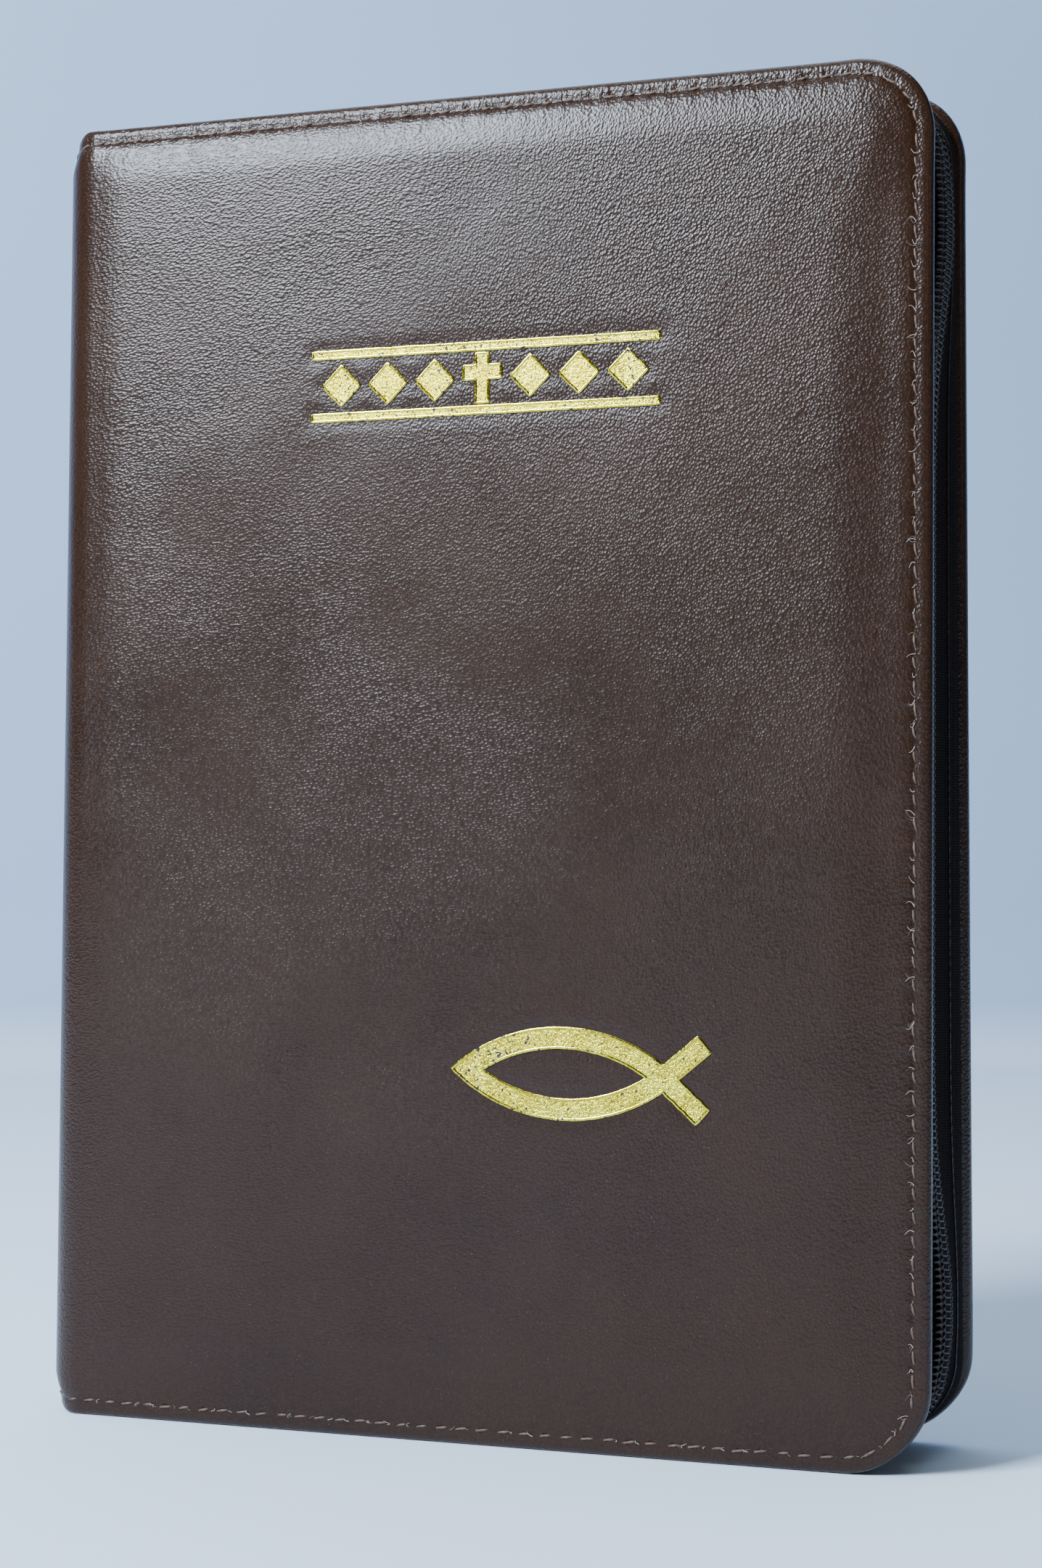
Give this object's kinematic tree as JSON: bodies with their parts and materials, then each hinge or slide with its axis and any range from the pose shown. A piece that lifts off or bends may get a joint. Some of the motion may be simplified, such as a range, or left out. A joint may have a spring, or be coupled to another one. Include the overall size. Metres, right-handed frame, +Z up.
{
  "type": "zip-round leather bible",
  "caption": "Upright hardback book in a padded leather zip-round case, with hinged covers, fanning page groups, ribbon marker and a sliding zip pull.",
  "frame": {"origin": "middle of the foot: centre of the case's width and thickness, on the plane that the covers' tail edges stand on", "axes": "+X from the spine to the fore-edge, +Y from the front cover to the back cover, +Z up from tail to head"},
  "size_m": [0.147, 0.03, 0.2141],
  "materials": {
    "leather": "satin",
    "padding": "matt",
    "board": "matt",
    "lining": "matt",
    "thread": "matt",
    "zip_tape": "matt",
    "zip_coil": "satin",
    "metal": "antique satin",
    "gold_foil": "polished foil",
    "paper": "matt",
    "kraft": "matt",
    "gauze": "matt",
    "band_cloth": "satin",
    "ribbon": "satin"
  },
  "bodies": {
    "spine_and_block": {"spine_leather": "leather", "spine_stiffener": "board", "spine_hollow_tube": "kraft", "spine_gauze": "gauze", "spine_stitching": "thread", "head_band": "band_cloth", "tail_band": "band_cloth", "sewn_page_backs": "paper", "page_core": "paper", "ribbon_marker": "ribbon", "head_zip_end_tape": "zip_tape", "head_zip_end_coil": "zip_coil", "head_zip_stops": "metal", "tail_zip_end_tape": "zip_tape", "tail_zip_end_coil": "zip_coil", "tail_zip_stop": "metal"},
    "front_cover": {"front_leather": "leather", "front_pad": "padding", "front_board": "board", "front_lining": "lining", "front_stitching": "thread", "front_zip_tape": "zip_tape", "front_zip_coil": "zip_coil", "fish_emblem": "gold_foil", "title_ornament": "gold_foil"},
    "back_cover": {"back_leather": "leather", "back_pad": "padding", "back_board": "board", "back_lining": "lining", "back_stitching": "thread", "back_zip_tape": "zip_tape", "back_zip_coil": "zip_coil"},
    "front_endleaf": {"front_endleaf": "paper"},
    "front_leaf_a": {"front_leaf_a": "paper"},
    "front_section_1": {"front_section_1": "paper"},
    "front_leaf_b": {"front_leaf_b": "paper"},
    "front_section_2": {"front_section_2": "paper"},
    "front_leaf_c": {"front_leaf_c": "paper"},
    "back_endleaf": {"back_endleaf": "paper"},
    "back_leaf_a": {"back_leaf_a": "paper"},
    "back_section_1": {"back_section_1": "paper"},
    "back_leaf_b": {"back_leaf_b": "paper"},
    "back_section_2": {"back_section_2": "paper"},
    "back_leaf_c": {"back_leaf_c": "paper"},
    "slider": {"slider_body": "metal"},
    "pull": {"pull_tab": "metal"}
  },
  "joints": [
    {"name": "front_cover_hinge", "type": "hinge", "parent": "spine_and_block", "child": "front_cover", "pos_m": [-0.065, -0.015, 0.106], "axis": [0, 0, -1], "range_deg": [0, 180]},
    {"name": "back_cover_hinge", "type": "hinge", "parent": "spine_and_block", "child": "back_cover", "pos_m": [-0.065, 0.015, 0.106], "axis": [0, 0, 1], "range_deg": [0, 180]},
    {"name": "front_endleaf_turn", "type": "hinge", "parent": "spine_and_block", "child": "front_endleaf", "pos_m": [-0.065, -0.0107, 0.106], "axis": [0, 0, -1], "range_deg": [0, 85.1]},
    {"name": "front_leaf_a_turn", "type": "hinge", "parent": "spine_and_block", "child": "front_leaf_a", "pos_m": [-0.065, -0.0104, 0.106], "axis": [0, 0, -1], "range_deg": [0, 79.7]},
    {"name": "front_section_1_turn", "type": "hinge", "parent": "spine_and_block", "child": "front_section_1", "pos_m": [-0.065, -0.0101, 0.106], "axis": [0, 0, -1], "range_deg": [0, 61.7]},
    {"name": "front_leaf_b_turn", "type": "hinge", "parent": "spine_and_block", "child": "front_leaf_b", "pos_m": [-0.065, -0.0074, 0.106], "axis": [0, 0, -1], "range_deg": [0, 45.5]},
    {"name": "front_section_2_turn", "type": "hinge", "parent": "spine_and_block", "child": "front_section_2", "pos_m": [-0.065, -0.0071, 0.106], "axis": [0, 0, -1], "range_deg": [0, 40.1]},
    {"name": "front_leaf_c_turn", "type": "hinge", "parent": "spine_and_block", "child": "front_leaf_c", "pos_m": [-0.065, -0.0043, 0.106], "axis": [0, 0, -1], "range_deg": [0, 27.5]},
    {"name": "back_endleaf_turn", "type": "hinge", "parent": "spine_and_block", "child": "back_endleaf", "pos_m": [-0.065, 0.0107, 0.106], "axis": [0, 0, 1], "range_deg": [0, 85.1]},
    {"name": "back_leaf_a_turn", "type": "hinge", "parent": "spine_and_block", "child": "back_leaf_a", "pos_m": [-0.065, 0.0104, 0.106], "axis": [0, 0, 1], "range_deg": [0, 79.7]},
    {"name": "back_section_1_turn", "type": "hinge", "parent": "spine_and_block", "child": "back_section_1", "pos_m": [-0.065, 0.0101, 0.106], "axis": [0, 0, 1], "range_deg": [0, 61.7]},
    {"name": "back_leaf_b_turn", "type": "hinge", "parent": "spine_and_block", "child": "back_leaf_b", "pos_m": [-0.065, 0.0074, 0.106], "axis": [0, 0, 1], "range_deg": [0, 45.5]},
    {"name": "back_section_2_turn", "type": "hinge", "parent": "spine_and_block", "child": "back_section_2", "pos_m": [-0.065, 0.0071, 0.106], "axis": [0, 0, 1], "range_deg": [0, 40.1]},
    {"name": "back_leaf_c_turn", "type": "hinge", "parent": "spine_and_block", "child": "back_leaf_c", "pos_m": [-0.065, 0.0043, 0.106], "axis": [0, 0, 1], "range_deg": [0, 27.5]},
    {"name": "slider_slide", "type": "slide", "parent": "spine_and_block", "child": "slider", "axis": [1, 0, 0], "range_m": [0, 0.105]},
    {"name": "pull_hinge", "type": "hinge", "parent": "slider", "child": "pull", "pos_m": [-0.056, 0, 0.213], "axis": [0, -1, 0], "range_deg": [0, 170]}
  ],
  "couplings": [
    {"joint": "front_endleaf_turn", "follows": "front_cover_hinge", "ratio": 0.47},
    {"joint": "front_leaf_a_turn", "follows": "front_cover_hinge", "ratio": 0.44},
    {"joint": "front_section_1_turn", "follows": "front_cover_hinge", "ratio": 0.34},
    {"joint": "front_leaf_b_turn", "follows": "front_cover_hinge", "ratio": 0.25},
    {"joint": "front_section_2_turn", "follows": "front_cover_hinge", "ratio": 0.22},
    {"joint": "front_leaf_c_turn", "follows": "front_cover_hinge", "ratio": 0.15},
    {"joint": "back_endleaf_turn", "follows": "back_cover_hinge", "ratio": 0.47},
    {"joint": "back_leaf_a_turn", "follows": "back_cover_hinge", "ratio": 0.44},
    {"joint": "back_section_1_turn", "follows": "back_cover_hinge", "ratio": 0.34},
    {"joint": "back_leaf_b_turn", "follows": "back_cover_hinge", "ratio": 0.25},
    {"joint": "back_section_2_turn", "follows": "back_cover_hinge", "ratio": 0.22},
    {"joint": "back_leaf_c_turn", "follows": "back_cover_hinge", "ratio": 0.15}
  ]
}
